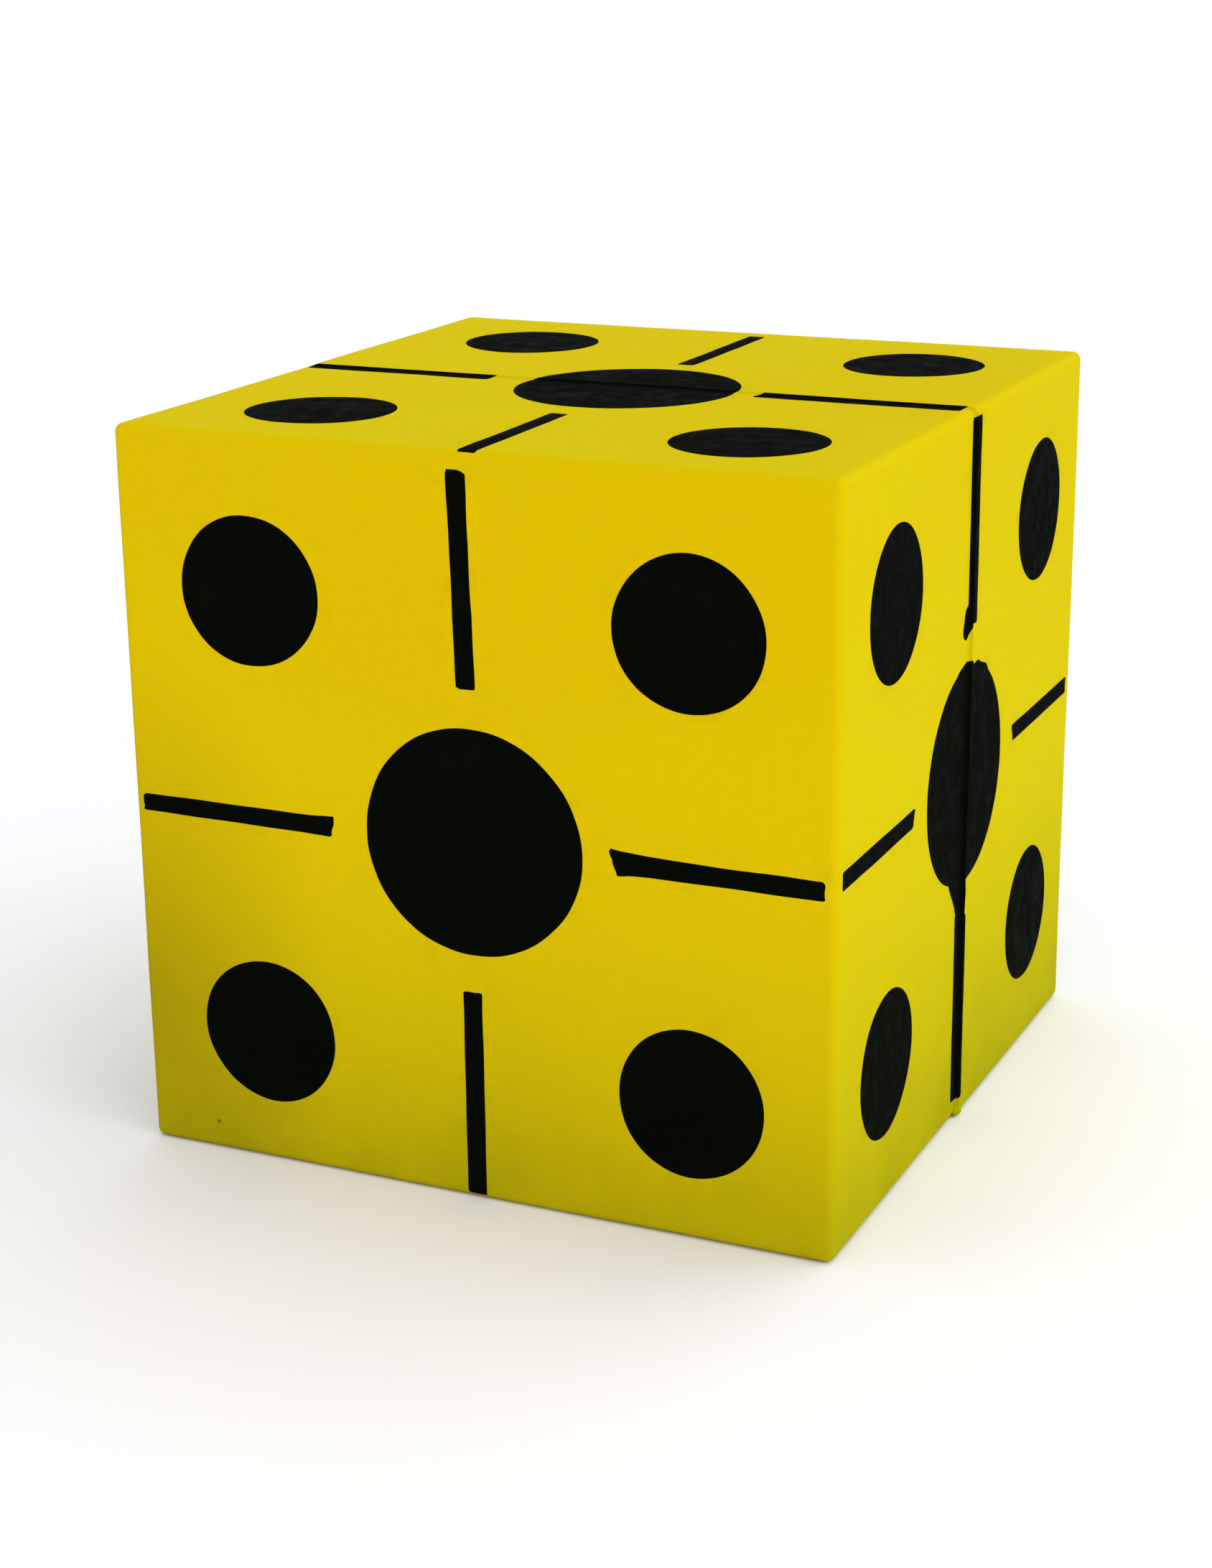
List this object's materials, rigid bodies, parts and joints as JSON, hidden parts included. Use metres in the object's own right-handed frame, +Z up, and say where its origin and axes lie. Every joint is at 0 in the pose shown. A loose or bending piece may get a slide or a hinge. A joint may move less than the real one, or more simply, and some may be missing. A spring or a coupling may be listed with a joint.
{
  "type": "giant foam die",
  "caption": "Large free-standing foam cube for lawn games: yellow-skinned halves bonded at mid-depth, with black spots and short mid-line bars painted on every face.",
  "frame": {"origin": "centre of the base, on the surface that the die stands on", "axes": "+Z up; the front half faces -Y and the joint between the halves lies in the XZ plane"},
  "size_m": [0.4035, 0.4, 0.401],
  "materials": {
    "yellow_skin": "smooth matte elastomer skin, bright yellow, faintly mottled",
    "black_paint": "flat black paint, put on by hand through a stencil",
    "foam": "firm closed-cell foam, cream",
    "glue": "dried contact adhesive"
  },
  "bodies": {
    "root": {"front_core": "foam", "rear_core": "foam", "core_glue": "glue", "seam_bead": "yellow_skin", "front_skin": "yellow_skin", "rear_skin": "yellow_skin", "front_centre_spot": "black_paint", "front_corner_spots": "black_paint", "front_bars": "black_paint", "right_centre_spot": "black_paint", "right_corner_spots": "black_paint", "right_bars": "black_paint", "rear_centre_spot": "black_paint", "rear_corner_spots": "black_paint", "rear_bars": "black_paint", "left_centre_spot": "black_paint", "left_corner_spots": "black_paint", "left_bars": "black_paint", "top_centre_spot": "black_paint", "top_corner_spots": "black_paint", "top_bars": "black_paint", "bottom_centre_spot": "black_paint", "bottom_corner_spots": "black_paint", "bottom_bars": "black_paint"}
  },
  "joints": []
}
